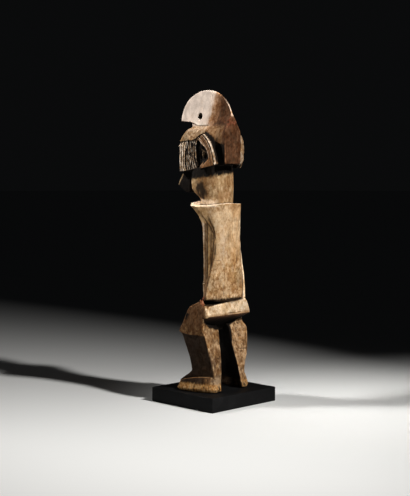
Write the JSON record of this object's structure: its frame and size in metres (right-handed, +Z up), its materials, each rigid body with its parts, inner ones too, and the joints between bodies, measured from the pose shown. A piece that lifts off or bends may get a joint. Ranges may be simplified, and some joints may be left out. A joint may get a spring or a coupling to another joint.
{
  "type": "carved wooden figure on a plinth",
  "caption": "Standing carved wooden figure with a tall crest, ears, beard and bent legs, on a flat black plinth; a decorative statue for display.",
  "frame": {"origin": "middle of the plinth's flat underside", "axes": "+Z up; the figure faces -Y and its left side is +X"},
  "size_m": [0.112, 0.1111, 0.3898],
  "materials": {
    "carved_wood": "hand carved, worn ochre patina with dark stains in the grooves",
    "black_paint": "matte black paint on wood"
  },
  "bodies": {
    "root": {"figure": "carved_wood", "plinth": "black_paint"}
  },
  "joints": []
}
